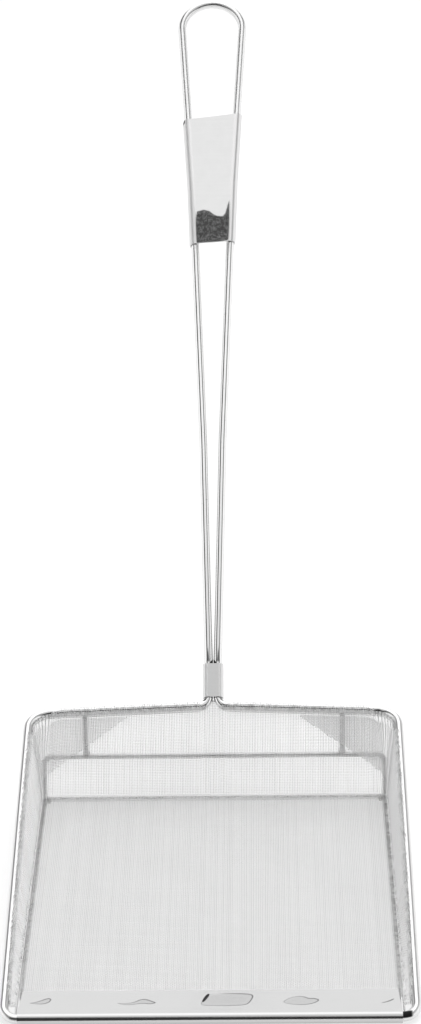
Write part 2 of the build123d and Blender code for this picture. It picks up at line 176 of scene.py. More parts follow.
def plated_wire_finish():
    """Bright plating on drawn wire: fine draw lines, faint clouds and a few dull specks, with
    black painted reflections and painted shade above the ferrule and at the front corners.
    """
    material, steel = new_finish("bright_plated_wire")
    x, y, z = steel.node("ShaderNodeTexCoord", {}, {}, "Object").parts()
    up_handle = y * handle_way[1] + z * handle_way[2] - float(handle_root @ handle_way)
    clouds = noise_at(steel, 60)
    draw_lines = noise_at(steel, 900, (1, 0.04, 0.05), (math.radians(-25), 0, 0), 2.0)
    specks = noise_at(steel, 1400, detail=1.0).between(0.70, 0.78)
    # All painted light here: painted dark reflections and painted shade, mixed in as black.
    soot_and_painted_dark = painted_dark_above_ferrule(x, up_handle) + painted_dark_at_corners(x, y, z)
    colour = (clouds * 0.7 + draw_lines * 0.3).mix(grey(0.70), grey(0.84))
    colour = specks.mix(colour, grey(0.45))
    colour = soot_and_painted_dark.mix(colour, grey(0.025))
    rubbed = up_handle.between(0.20, 0.34) * 1.2         # about the grip and the loop
    rubbed = rubbed + (1 - up_handle.between(-0.012, 0.002)) * 1.4       # the whole rim
    roughness = 0.05 + clouds * 0.06 + specks * 0.2 + soot_and_painted_dark * 0.3 + rubbed * 0.16
    metal(steel, colour, roughness, draw_lines + clouds * 2, 0.00001)
    return material


def coat(name, finish):
    """Gives a solid that is kept as it is its finish."""
    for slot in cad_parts[name].material_slots:
        slot.material = finish


plated_wire = plated_wire_finish()
coat("rim_wire", plated_wire)
coat("handle_wire", plated_wire)


# Ferrule. A short sleeve of thin plated sheet over the joint, pressed flat round the
# rim's two ends and the handle's legs, with its seam underneath.

ferrule_low = 0.0042         # along the handle; its other end is ferrule_top
ferrule_flat = 0.0035        # half the width of its pressed flat
ferrule_curl = 0.0028        # a wire's centre to the middle of the sheet
ferrule_seam = 0.00022       # half the gap between its edges
ferrule_sink = 0.00008       # how far its flat sinks in the middle
ferrule_thickness = 0.0006
leg_half = 0.0025            # half the spacing of the wires inside it
top_share = 0.24             # the flat's share of the way from the top to the seam


def noted(steel, name):
    """A value noted on the mesh, point by point; 0 where a mesh has none."""
    return steel.node("ShaderNodeAttribute", {"attribute_name": name}, {}, "Fac")


def plated_sheet_finish():
    """Bright plating on rolled sheet: shallow dents, rolling lines and rubbed clouds, with a
    painted sheen where the flat bends and painted shade in the grip's notch.
    """
    material, steel = new_finish("bright_plated_sheet")
    dents = noise_at(steel, 45, detail=1.0)
    rolling = noise_at(steel, 700, (0.03, 1, 1), (-handle_slope, 0, 0), 2.0)
    rubbed = noise_at(steel, 140, detail=4.0)
    colour = (rubbed * 0.6 + rolling * 0.4).mix(grey(0.60), grey(0.67))
    bend = noted(steel, "bend")
    # Painted sheen: lighter where the flat bends into its curls.
    colour = bend.mix(colour, grey(0.77))
    # Painted shade: black in the grip's notch.
    colour = noted(steel, "notch_shade").mix(colour, grey(0.04))
    roughness = 0.025 + rubbed * 0.03 + bend * 0.45
    metal(steel, colour, roughness, dents * 3 + rolling * 0.03, 0.00001)
    return material


def plain_sheet(name, columns, rows):
    """A flat blank of sheet, marked out in columns and rows from 0 to 1."""
    bpy.ops.object.select_all(action="DESELECT")
    bpy.ops.mesh.primitive_grid_add(
        x_subdivisions=columns, y_subdivisions=rows, size=1, location=(0.5, 0.5, 0)
    )
    blank = bpy.context.object
    blank.name = blank.data.name = name
    bpy.ops.object.transform_apply(location=True, rotation=True, scale=True)
    flat = np.empty(len(blank.data.vertices) * 3)
    blank.data.vertices.foreach_get("co", flat)
    return blank, flat.reshape(-1, 3)[:, 0], flat.reshape(-1, 3)[:, 1]


def note(piece, name, values):
    """Notes a value at every point of a mesh, for its finish."""
    piece.data.attributes.new(name, "FLOAT", "POINT").data.foreach_set("value", values)


def on_handle(across, along, height):
    """Places on the handle: beside its middle, up its slope and above its wires' centres."""
    return (
        handle_root + np.outer(across, [1, 0, 0]) + np.outer(along, handle_way)
        + np.outer(height, handle_up)
    )


def pressed(blank, places, thickness, finish, node):
    """Presses a blank to shape, gives it its thickness and lays it on the object."""
    blank.data.vertices.foreach_set("co", places.ravel())
    blank.data.update()
    bpy.ops.object.mode_set(mode="EDIT")
    bpy.ops.mesh.select_all(action="SELECT")
    bpy.ops.mesh.normals_make_consistent(inside=False)
    bpy.ops.object.mode_set(mode="OBJECT")
    thicken = blank.modifiers.new("thickness", "SOLIDIFY")
    thicken.thickness = thickness
    thicken.offset = 0
    thicken.use_even_offset = True
    bpy.ops.object.modifier_apply(modifier=thicken.name)
    bpy.ops.object.shade_smooth_by_angle(angle=math.radians(35))
    blank.data.materials.append(finish)
    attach(blank, "root")
    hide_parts(node)


plated_sheet = plated_sheet_finish()

ferrule, turn, share = plain_sheet("ferrule_sleeve", 120, 24)
side = np.sign(turn - 0.5)
turn = np.abs(turn - 0.5) * 2                    # 0 in the middle of the top, 1 at the seam
angle = np.clip((turn - top_share) / (1 - 2 * top_share), 0, 1) * math.pi
flat_part = np.interp(
    turn, [0, top_share, 1 - top_share, 1], [0, ferrule_flat, ferrule_flat, ferrule_seam]
)
across = side * (flat_part + np.sin(angle) * (leg_half + ferrule_curl - ferrule_flat))
along = ferrule_low + (ferrule_top - ferrule_low) * share
to_edge = np.clip(turn / top_share, 0, 1)        # across the flat, from its middle
sink = ferrule_sink * np.cos(to_edge * math.pi / 2)
# Painted sheen where the flat bends into the curls.
note(ferrule, "bend", np.clip(turn / top_share * 6 - 5, 0, 1))
pressed(
    ferrule, on_handle(across, along, np.cos(angle) * ferrule_curl - sink), ferrule_thickness,
    plated_sheet, "ferrule",
)


# Grip. A long tapered plate of the same sheet for the hand, its sides curled round the
# legs and its underside left open. Its ends are cut a little askew.

grip_low = 0.2889, math.tan(math.radians(4))     # place along the handle, and slant
grip_high = 0.3762, math.tan(math.radians(7))
grip_curl = 0.00295          # a leg's centre to the middle of the sheet curled round it
grip_thickness = 0.0007
grip_sink = 0.00015          # how far its flat sinks between the legs
curl_angle = math.radians(176)
curl_share = 0.20            # either curl's share of the sheet's width
corner_dip = 0.0016          # how far the left upper corner is bent back


def leg_at(along):
    """Half the spacing of the legs: they open wider from inside the grip on."""
    places = [(0.159, 0.0054), (0.329, 0.0117), (0.4397, 0.0182)]
    return np.interp(along, *zip(*places))


def grip_hollow(across, along):
    """How far the grip's flat sinks between the legs, with a few slight dents."""
    share = np.clip(across / leg_at(along), -1, 1)
    dents = 1 + 0.5 * np.sin(along * 90) * np.sin(across * 160 + 0.6)
    return grip_sink * (1 - share**2) * dents


grip, turn, share = plain_sheet("grip_plate", 120, 60)
side = np.sign(turn - 0.5)
middle = grip_low[0] + (grip_high[0] - grip_low[0]) * share
half = leg_at(middle)
angle = np.where(
    turn < curl_share, curl_angle * (1 - turn / curl_share),
    np.where(turn > 1 - curl_share, curl_angle * (turn - 1 + curl_share) / curl_share, 0),
)
flat_share = np.clip((turn - curl_share) / (1 - 2 * curl_share), 0, 1) * 2 - 1
across = np.where(angle > 0, side * (half + np.sin(angle) * grip_curl), flat_share * half)
along = middle + across * (grip_low[1] + (grip_high[1] - grip_low[1]) * share)
height = np.cos(angle) * grip_curl - grip_hollow(across, along) * (angle == 0)
bent_back = np.clip((angle - 0.8) / 0.5, 0, 1) * np.clip((share - 0.975) / 0.025, 0, 1)
along -= corner_dip * bent_back * (side < 0)
# Painted sheen along the flat's edges, stronger on the left side.
bend = np.clip(np.abs(flat_share) * 10 - 9, 0, 1) * np.where(side < 0, 1.0, 0.7)
# Painted shade inside the curl at the bent-back upper left corner.
notch_shade = (side < 0) * (share > 0.968) * (angle > 0.7) * (angle < 1.9) * 1.0
note(grip, "bend", bend)
note(grip, "notch_shade", notch_shade)
pressed(
    grip, on_handle(across, along, height), grip_thickness, plated_sheet,
    "grip_sleeve",
)


# Floor of the woven cloth. The cloth is one sheet of plain-woven steel wire, cut and
# folded; its floor lies flat on the cradle from under the lip to the crease at the back.
# Each way of the weave is a piece: its wires are woven flat and then laid into place.

mesh_pitch = 0.0009
strand_radius = 0.000135
strand_wave = 0.00015        # how far a strand goes above and below the cloth's middle
fray_reach = 0.0004          # how far from a cut edge the strands are loose
floor_middle = 0.0037        # the cloth's middle, above the table
floor_half = 0.0943
floor_front = 0.0168
crease_back = 0.18867
chance = np.random.default_rng(7)


def woven_finish():
    """Thin drawn wire, lightly plated: each strand a little brighter or duller, whole panels
    painted brighter, painted white highlight bands, dark cut ends and painted shade along
    folds.
    """
    material, steel = new_finish("woven_steel_cloth")
    clouds = noise_at(steel, 35)
    strand_by_strand = noise_at(steel, 650, detail=1.0)
    strand_tone_and_painted_light = noted(steel, "strand_tone_and_painted_light")
    wear_and_painted_light = clouds * 0.3 + strand_by_strand * 0.3 + strand_tone_and_painted_light * 0.45
    colour = wear_and_painted_light.mix(grey(0.73), grey(0.93))
    # Painted highlight: the brightest strands, from painted brightening and the rubbed bands,
    # go to white.
    colour = strand_tone_and_painted_light.between(1.0, 2.0).mix(colour, grey(1.0))
    # Dark cut ends, and painted shade along the folds.
    colour = noted(steel, "dark_ends_and_crease_shade").mix(colour, grey(0.18))
    roughness = 0.40 + strand_by_strand * 0.16
    # Less metallic where painted bright, so the lamp lights those strands too.
    metallic_under_painted_light = 1 - strand_tone_and_painted_light.between(1.2, 2.6) * 0.8
    metal(steel, colour, roughness, strand_by_strand, 0.00001, Metallic=metallic_under_painted_light)
    return material


def strands(name, start, cells, lengthways, first_up):
    """The strands of one way of the cloth, flat: a pair over and under, laid side by side."""
    along = Vector((0, mesh_pitch, 0)) if lengthways else Vector((mesh_pitch, 0, 0))
    across = Vector((mesh_pitch, 0, 0)) if lengthways else Vector((0, mesh_pitch, 0))
    wave = Vector((0, 0, 2 * strand_wave * first_up))
    bpy.ops.object.select_all(action="DESELECT")
    bpy.ops.mesh.primitive_circle_add(
        vertices=4, radius=strand_radius, location=Vector((*start, 0)) + wave / 2,
        rotation=(math.pi / 2, 0, 0) if lengthways else (0, math.pi / 2, 0),
    )
    cloth = bpy.context.object
    cloth.name = cloth.data.name = name
    bpy.ops.object.transform_apply(location=True, rotation=True, scale=True)
    bpy.ops.object.mode_set(mode="EDIT")
    bpy.ops.mesh.select_all(action="SELECT")
    for step in (along - wave, along + wave):
        bpy.ops.mesh.extrude_region_move(TRANSFORM_OT_translate={"value": step})
    bpy.ops.mesh.select_all(action="SELECT")
    bpy.ops.mesh.normals_make_consistent(inside=False)
    bpy.ops.mesh.duplicate_move(TRANSFORM_OT_translate={"value": across})
    bpy.ops.transform.resize(value=(1, 1, -1), center_override=(0, 0, 0))
    bpy.ops.mesh.flip_normals()
    bpy.ops.object.mode_set(mode="OBJECT")
    counts = (cells[1], cells[0]) if lengthways else (cells[0], cells[1])
    for count, step, merge in ((counts[0], along, True), (counts[1], across, False)):
        repeat = cloth.modifiers.new("repeat", "ARRAY")
        repeat.count = count // 2
        repeat.use_relative_offset = False
        repeat.use_constant_offset = True
        repeat.constant_offset_displace = step * 2
        repeat.use_merge_vertices = merge
        repeat.merge_threshold = 0.00002
        bpy.ops.object.modifier_apply(modifier=repeat.name)
        if merge:
            bpy.ops.object.mode_set(mode="EDIT")
            bpy.ops.mesh.select_all(action="SELECT")
            bpy.ops.mesh.fill_holes(sides=4)
            bpy.ops.object.mode_set(mode="OBJECT")
    return cloth


def chosen(cloth):
    """Makes a piece of the cloth the only one that is picked."""
    bpy.ops.object.select_all(action="DESELECT")
    cloth.select_set(True)
    bpy.context.view_layer.objects.active = cloth


def trim(cloth, place, normal):
    """Cuts the flat cloth along a line and throws away the side the normal points to."""
    chosen(cloth)
    bpy.ops.object.mode_set(mode="EDIT")
    bpy.ops.mesh.select_all(action="SELECT")
    bpy.ops.mesh.bisect(
        plane_co=(*place, 0), plane_no=(*normal, 0), use_fill=True, clear_outer=True
    )
    bpy.ops.object.mode_set(mode="OBJECT")


def points_of(cloth):
    """The places of all points of a piece of cloth, one a row."""
    places = np.empty(len(cloth.data.vertices) * 3)
    cloth.data.vertices.foreach_get("co", places)
    return places.reshape(-1, 3)


def inside_line(flat, place, normal):
    """How far the points of the flat cloth lie inside a line whose normal points out."""
    return (np.array(place) - flat[:, :2]) @ np.array(normal)


def loosen(cloth, start, lengthways, edges, folds, rubbed, painted_brightening, frayed):
    """Sets each strand a little off its place, frays the cut ends and notes their dark burrs,
    painted shade along the folds, painted white in the rubbed bands and the panel's painted
    brightening.
    """
    flat = points_of(cloth)
    own = 0 if lengthways else 1
    number = np.rint((flat[:, own] - start[own]) / mesh_pitch).astype(int).clip(0)
    count = number.max() + 1
    strand_tone_and_painted_light = np.full(len(flat), 1.1)
    if lengthways:
        strand_tone_and_painted_light = chance.random(count)[number] * 1.6 - 0.7
    # Painted brightening of the whole panel.
    strand_tone_and_painted_light = strand_tone_and_painted_light + painted_brightening
    flat[:, own] += chance.normal(0, 0.05, count).clip(-0.12, 0.12)[number] * mesh_pitch
    fray = chance.uniform(-0.8, 0.4, count)[number] * mesh_pitch
    burr = np.repeat(chance.random(count) ** 2 * 1.3, 2)[number] if lengthways else 0.1
    fray *= np.abs(flat[:, 0]) < frayed
    burr = burr * (np.abs(flat[:, 0]) < frayed)
    patches = (chance.random((200, 200)) > 0.6) * 1.0    # each two strands by two
    other = np.rint(flat[:, 1 - own] / mesh_pitch / 2).astype(int)
    patch = patches[number // 2 % 200, other % 200]
    dark_ends_and_crease_shade = np.zeros(len(flat))
    for place, normal in edges:
        end = np.clip(1 - inside_line(flat, place, normal) / fray_reach, 0, 1)
        flat[:, :2] += np.outer(fray * end, normal)
        dark_ends_and_crease_shade = np.maximum(dark_ends_and_crease_shade, end * burr)
    # Painted shade, in patches, along creases and folded edges.
    for place, normal, reach, strength in folds:
        near = np.clip(1 - inside_line(flat, place, normal) / reach, 0, 1)
        dark_ends_and_crease_shade = np.maximum(dark_ends_and_crease_shade, near * strength * patch)
    # Painted highlight: strands in these bands are painted white.
    for place, normal, reach in rubbed:
        strand_tone_and_painted_light = np.where(inside_line(flat, place, normal) < reach, 3.0, strand_tone_and_painted_light)
    cloth.data.vertices.foreach_set("co", flat.ravel())
    note(cloth, "strand_tone_and_painted_light", strand_tone_and_painted_light)
    note(cloth, "dark_ends_and_crease_shade", dark_ends_and_crease_shade)


def fold(cloth, surface):
    """Moves the flat cloth onto a folded surface, each strand keeping its height over it."""
    across, up, height = points_of(cloth).T
    step = 0.00005
    on = surface(across, up)
    side = surface(across + step, up) - surface(across - step, up)
    rise = surface(across, up + step) - surface(across, up - step)
    normal = np.cross(side, rise)
    normal /= np.maximum(np.linalg.norm(normal, axis=1), 1e-12)[:, None]
    cloth.data.vertices.foreach_set("co", (on + normal * height[:, None]).ravel())
    cloth.data.update()


def woven_cloth(name, start, cells, surface, nodes, cuts=(), edges=(), folds=(), rubbed=(),
                painted_brightening=0, frayed=1, parts=1):
    """Both ways of one panel of the cloth, woven flat, cut and folded."""
    for way, lengthways, first_up in (("up", True, 1), ("across", False, -1)):
        own = 0 if lengthways else 1
        share = list(cells)
        share[own] //= parts
        for part in range(parts):
            corner = list(start)
            corner[own] += part * share[own] * mesh_pitch
            end = f"_{part + 1}" if parts > 1 else ""
            cloth = strands(f"{name}_{way}{end}", corner, share, lengthways, first_up)
            for place, normal in cuts:
                trim(cloth, place, normal)
            ends = [*cuts, *edges]
            loosen(cloth, corner, lengthways, ends, folds, rubbed, painted_brightening, frayed)
            fold(cloth, surface)
            chosen(cloth)
            bpy.ops.object.shade_smooth()
            cloth.data.materials.append(woven)
            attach(cloth, "root")
            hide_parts(*nodes)


def floor_surface(across, up):
    """The level floor."""
    return np.stack([across, up, np.full_like(across, floor_middle)], axis=1)


woven = woven_finish()
columns = 4 * int(floor_half / mesh_pitch / 2)
rows = 4 * round((crease_back - floor_front) / mesh_pitch / 4)
# The folds paint shade along the crease and along the floor's side edges.
woven_cloth(
    "cloth_floor", (-(columns - 1) / 2 * mesh_pitch, crease_back - rows * mesh_pitch),
    (columns, rows), floor_surface, ["mesh_floor"],
    folds=[
        ((0, crease_back), (0, 1), 0.0018, 0.9), ((floor_half, 0), (1, 0), 0.003, 0.7),
        ((-floor_half, 0), (-1, 0), 0.003, 0.7),
    ], parts=2,
)


# Back wall and rear corners of the cloth. It rises from the crease, leans back over the
# cradle's crossing and goes round both corners, and its cut edge is turned up round the
# inside of the rim wire.

tilt = math.atan2(48.0, 206.5)
rim_height = 0.0031          # the front wire's centre, above the table
rim_along = np.array([0, math.cos(tilt), math.sin(tilt)])
rim_normal = np.array([0, -math.sin(tilt), math.cos(tilt)])
rim_half = 0.1001
rim_back = 0.2069, 0.212     # up the tilt: the rim wire at its corners and in its middle
rim_radius = 0.012           # of the rim's corners
turn_radius = 0.0029         # the cloth's middle to the rim wire's centre
turn_low = math.radians(45)  # where the cloth comes onto the wire
turn_high = math.radians(84)
turn_inset = turn_radius * math.cos(turn_low)
exit_radius = 0.0054         # of the bends where the rim's ends turn up to the handle
side_end = 0.1865            # where the corners end and the side walls begin
panel_end = 0.0875           # half the width of the flat panel
fold_half = 0.0945
crease_height = 0.0033
crease_radius = 0.0016
crossing_back = 0.1981       # the wall where it leans on the cradle's crossing
crossing_height = 0.0229
crossing_radius = 0.0045
wall_rise = 0.0555           # from the crease to the cloth's cut edge
corner_run = 0.083           # where the turned edge begins to get lower


def corner_line(half, corner_back, centre_back, radius, start):
    """A level line of the wall from the middle of the back round the corner to the side."""
    back = centre_back - (centre_back - corner_back) * panel_end / half

    def place(part, share):
        middle = np.stack([share * panel_end, centre_back - (centre_back - back) * share], 1)
        to_bend = panel_end + (half - radius - panel_end) * share
        to_bend = np.stack([to_bend, np.full_like(share, back)], 1)
        angle = share * math.pi / 2
        bend = np.stack(
            [half - radius + radius * np.sin(angle), back - radius + radius * np.cos(angle)], 1
        )
        side = back - radius - (back - radius - start) * share
        side = np.stack([np.full_like(share, half), side], 1)
        return np.choose(part[:, None], [middle, to_bend, bend, side])

    lengths = [
        math.hypot(panel_end, centre_back - back), half - radius - panel_end,
        radius * math.pi / 2, back - radius - start,
    ]
    return place, lengths


side_rim = rim_height + side_end * math.tan(tilt) - turn_radius * math.sin(turn_low)
crossing_share = (crossing_height - crease_height) / (side_rim - crease_height)
crossing_half = fold_half + (rim_half - turn_inset - fold_half) * crossing_share
crossing_line, wall_lengths = corner_line(
    crossing_half, crossing_back, crossing_back, crossing_radius, side_end
)
crease_line, _ = corner_line(fold_half, crease_back, crease_back, crease_radius, side_end)
top_line, _ = corner_line(
    rim_half - turn_inset, rim_back[0] - turn_inset, rim_back[1] - turn_inset,
    rim_radius - turn_inset, side_end / math.cos(tilt),
)
wall_ends = np.cumsum(wall_lengths)


def wall_surface(across, up):
    """The back wall and its corners, with the cloth's edge turned up round the rim."""
    run = np.minimum(np.abs(across), wall_ends[-1] - 1e-7)
    part = np.searchsorted(wall_ends, run, side="right")
    share = (run - (wall_ends - wall_lengths)[part]) / np.array(wall_lengths)[part]
    outward = np.stack(
        [
            np.choose(part, [0, 0, np.sin(share * math.pi / 2), 1]),
            np.choose(part, [1, 1, np.cos(share * math.pi / 2), 0]),
        ], 1,
    )
    crease = np.column_stack([crease_line(part, share), np.full_like(run, crease_height)])
    middle = np.column_stack([crossing_line(part, share), np.full_like(run, crossing_height)])
    top = top_line(part, share) + outward * turn_inset
    lift = exit_radius - np.sqrt(
        np.maximum(exit_radius**2 - np.maximum(leg_half + exit_radius - run, 0) ** 2, 0)
    )
    lift = np.where(run < leg_half, exit_radius, lift)
    rim_centre = (
        np.column_stack([top[:, 0], 0 * run, 0 * run]) + np.outer(top[:, 1], rim_along)
        + np.outer(lift, handle_way) + np.array([0, 0, rim_height])
    )
    inward = -np.column_stack([outward[:, 0], 0 * run, 0 * run])
    inward -= np.outer(outward[:, 1], rim_along)
    head = inward * math.cos(turn_low) - rim_normal * math.sin(turn_low)
    head = rim_centre + head * turn_radius
    lower = np.linalg.norm(middle - crease, axis=1)
    upper = np.linalg.norm(head - middle, axis=1)
    cover = turn_high * np.clip((run - leg_half) / exit_radius, 0, 1)
    cover *= 1 - 0.75 * np.clip((run - corner_run) / 0.010, 0, 1)
    rise = up / wall_rise * (lower + upper + turn_radius * (turn_low + cover))
    low_part = crease + (middle - crease) * (rise / lower)[:, None]
    high_part = middle + (head - middle) * ((rise - lower) / upper)[:, None]
    angle = ((rise - lower - upper) / turn_radius - turn_low)[:, None]
    turned = rim_centre + (inward * np.cos(angle) + rim_normal * np.sin(angle)) * turn_radius
    wall = np.where((rise < lower)[:, None], low_part, high_part)
    wall = np.where((rise > lower + upper)[:, None], turned, wall)
    wall[:, 0] *= np.where(across < 0, -1.0, 1.0)
    return wall


wall_columns = 2 * round(wall_ends[-1] / mesh_pitch)
wall_rows = 2 * round(wall_rise / mesh_pitch / 2)
# The folds paint shade under the turned edge, the rubbed band paints a white highlight along
# the crease, and the brightening paints the whole wall lighter.
woven_cloth(
    "cloth_back", (-(wall_columns - 1) / 2 * mesh_pitch, 0), (wall_columns, wall_rows),
    wall_surface, ["mesh_back", "mesh_corner_left", "mesh_corner_right"],
    edges=[((0, wall_rise), (0, 1))], folds=[((0, wall_rise), (0, 1), 0.006, 0.6)],
    rubbed=[((0, 0), (0, -1), 0.0019)], painted_brightening=1.0, frayed=corner_run,
)


# Side walls of the cloth. They are folded up along the floor and get lower towards the
# lip, and their cut edge, too, is turned up round the inside of the rim wire.

side_front = 0.0085
side_turn_front = 0.007      # where the cloth begins to go further round the wire
side_top_front = 0.0056      # height of the flat cloth, at the front and at the back
side_top_back = 0.0473


def side_surface_of(sign):
    def side_surface(along, up):
        """The left or right side wall, with its edge turned up round the rim."""
        share = np.clip((along - side_turn_front) / (side_end - side_turn_front), 0, 1)
        low = np.radians(20 + 25 * share)        # where the cloth comes onto the wire
        on_rim = along / math.cos(tilt) - turn_radius * np.sin(low) * math.tan(tilt)
        foot = np.column_stack([0 * along - fold_half, along, 0 * along + floor_middle])
        centre = np.column_stack([0 * along - rim_half, 0 * along, 0 * along + rim_height])
        centre += np.outer(on_rim, rim_along)
        inward = np.array([1.0, 0, 0])
        head = np.outer(np.cos(low), inward) - np.outer(np.sin(low), rim_normal)
        head = centre + head * turn_radius
        height = np.linalg.norm(head - foot, axis=1)
        wall = foot + (head - foot) * (up / height)[:, None]
        angle = ((up - height) / turn_radius - low)[:, None]
        turned = centre + (inward * np.cos(angle) + rim_normal * np.sin(angle)) * turn_radius
        wall = np.where((up > height)[:, None], turned, wall)
        wall[:, 0] *= -sign
        return wall
    return side_surface


side_columns = 2 * round((side_end - side_front) / mesh_pitch / 2)
side_rows = 2 * math.ceil(side_top_back / mesh_pitch / 2)
side_slope = Vector((side_end - side_front, side_top_back - side_top_front)).normalized()
side_cut = (side_front, side_top_front), (-side_slope.y, side_slope.x)
for side, sign in (("left", -1), ("right", 1)):
    # The folds paint shade along the foot and the front cut, and the brightening paints the
    # wall lighter.
    woven_cloth(
        f"cloth_side_{side}", (side_front, 0), (side_columns, side_rows),
        side_surface_of(sign), [f"mesh_side_{side}", f"mesh_wrap_{side}"], [side_cut],
        folds=[((0, 0), (0, -1), 0.004, 0.6), (*side_cut, 0.004, 0.6)], painted_brightening=1.5,
    )


# Corner flaps. The spare cloth of either rear corner is a three-cornered fold, laid flat
# against the inside of the back wall under the rim.

flap_inner = 0.046           # how far it reaches, from the middle
flap_outer = 0.0985
flap_top = 0.0485            # up the back wall, from the crease
flap_down = 0.040
flap_off = 0.0010            # between its middle and the back wall's


def flap_surface(across, up):
    """The back wall's surface, one thickness of cloth further in."""
    step = 0.0001
    on = wall_surface(across, up)
    side = wall_surface(across + step, up) - on
    rise = wall_surface(across, up + step) - on
    normal = np.cross(side, rise)
    normal /= np.linalg.norm(normal, axis=1)[:, None]
    return on + normal * flap_off


flap_columns = 2 * round((flap_outer - flap_inner) / mesh_pitch / 2)
flap_rows = 2 * round(flap_down / mesh_pitch / 2)
for side, sign in (("left", -1), ("right", 1)):
    start = -flap_outer if sign < 0 else flap_inner
    edge = Vector((flap_outer - flap_inner, flap_down)).normalized()
    # The brightening paints the flap lighter.
    woven_cloth(
        f"cloth_flap_{side}", (start, flap_top - flap_rows * mesh_pitch),
        (flap_columns, flap_rows), flap_surface, [f"mesh_flap_{side}"],
        [((sign * flap_inner, flap_top), (-sign * edge.y, -edge.x))], painted_brightening=1.3,
    )


# Lip. A strip of thin satin sheet folded round the front wire over the cut edge of the
# cloth, and held by five spot welds, which leave shallow pressed marks.

lip_half = 0.093
lip_thickness = 0.0006
lip_fold = 0.00279           # front wire's centre to the middle of the sheet
lip_notch = 0.09145          # the lower flap ends inside the cradle's arms
lip_end = 0.019              # where the upper flap ends, from the front wire's centre
lip_end_height = 0.0045
lip_taper = 0.014            # of its half width, from the fold to the upper flap's end
top_turn = math.radians(86)  # where the fold runs out into the upper flap
fold_steps = 20

# Middle line of the lower flap in millimetres, from its edge to the front wire
lower_flap = [
    (18.0, 2.9), (14.2, 2.9), (13.5, 2.75), (12.8, 2.4), (9.7, 0.65), (9.0, 0.37), (8.2, 0.3),
    (6.0, 0.3), (4.0, 0.3), (2.0, 0.3),
]

# Spot-weld marks in millimetres: middle across and along, depth, then the outline round it
spot_marks = [
    (-82.7, 10.1, 0.08, [
        (-5.4, -1.2), (-2.5, -0.6), (0.5, 0.9), (2.8, 2.5), (4.8, 2.9), (5.5, 1.3),
        (4.3, -1.0), (1.5, -2.2), (-2.0, -1.9),
    ]),
    (-35.6, 9.0, 0.08, [
        (-9.9, -0.5), (-7.0, -0.8), (-3.5, -0.6), (-0.5, 0.6), (1.8, 2.5), (4.5, 2.7),
        (7.2, 1.1), (9.9, -0.6), (6.5, -1.5), (3.5, -0.9), (0.5, -1.3), (-2.5, -2.1),
        (-6.5, -1.9),
    ]),
    (8.0, 11.0, 0.25, [
        (-12.9, -4.6), (-10.9, 1.5), (-8.7, 5.0), (-2.0, 5.3), (6.0, 5.2), (12.0, 4.6),
        (13.3, 2.6), (11.7, -2.0), (9.7, -4.8), (2.0, -5.3), (-8.0, -5.3),
    ]),
    (44.2, 9.7, 0.12, [
        (-9.3, -1.5), (-6.5, 1.8), (-2.5, 3.7), (1.5, 3.5), (3.8, 1.7), (6.5, 2.0),
        (9.3, 0.4), (6.5, -2.3), (2.0, -3.7), (-4.0, -3.5),
    ]),
    (86.0, 9.0, 0.08, [
        (-3.2, -1.6), (-1.0, -0.9), (1.5, 0.5), (3.3, 1.8), (2.9, 0.9), (0.9, -0.6),
        (-1.3, -1.6),
    ]),
]

# A dark streak over the left end of the middle mark, across and along in millimetres
streak = [(-4.4, 9.2), (-2.7, 8.9), (0.4, 15.9), (-1.6, 16.1)]


def lip_finish():
    """Satin sheet: even, with faint rolling lines, and dark in its pressed marks."""
    material, steel = new_finish("satin_lip_sheet")
    rolling = noise_at(steel, 800, (0.02, 1, 1), detail=2.0)
    rubbed = noise_at(steel, 90, detail=4.0)
    colour = (rubbed * 0.6 + rolling * 0.4).mix(grey(0.555), grey(0.600))
    mark = noted(steel, "mark")
    colour = mark.mix(colour, grey(0.04))
    roughness = 0.12 + rubbed * 0.08 + mark * 0.2
    metal(steel, colour, roughness, rolling * 0.3 + rubbed, 0.00001)
    return material


def inside_of(outline, across, along):
    """How far a place lies inside a smooth closed outline; outside is below 0."""
    corners = np.array(outline)
    for _ in range(3):
        after = np.roll(corners, -1, axis=0)
        corners = np.stack([corners * 0.75 + after * 0.25, corners * 0.25 + after * 0.75], 1)
        corners = corners.reshape(-1, 2)
    here = np.stack([across, along], 1)[:, None]
    start, end = corners[None], np.roll(corners, -1, axis=0)[None]
    run = end - start
    on = np.clip(((here - start) * run).sum(2) / (run**2).sum(2), 0, 1)
    away = np.sqrt((((start + run * on[..., None]) - here) ** 2).sum(2)).min(1)
    crosses = (start[..., 1] > here[..., 1]) != (end[..., 1] > here[..., 1])
    at = start[..., 0] + (here[..., 1] - start[..., 1]) * run[..., 0] / np.where(
        run[..., 1] == 0, 1e-9, run[..., 1]
    )
    within = (crosses & (here[..., 0] < at)).sum(1) % 2 == 1
    return np.where(within, away, -away)


line = [(y / 1000, z / 1000) for y, z in lower_flap]
for step in range(fold_steps + 1):
    angle = -math.pi / 2 - (math.pi * 1.5 - top_turn) * step / fold_steps
    line.append((lip_fold * math.cos(angle), rim_height + lip_fold * math.sin(angle)))
upper_start = len(line)
top_y, top_z = line[-1]
for reach in [1.5, 3.0, 4.4, *np.arange(5.2, 17.4, 0.3), 17.9, 18.5, 19.0]:
    share = (reach / 1000 - top_y) / (lip_end - top_y)
    line.append((reach / 1000, top_z + (lip_end_height - top_z) * share))
line = np.array(line)

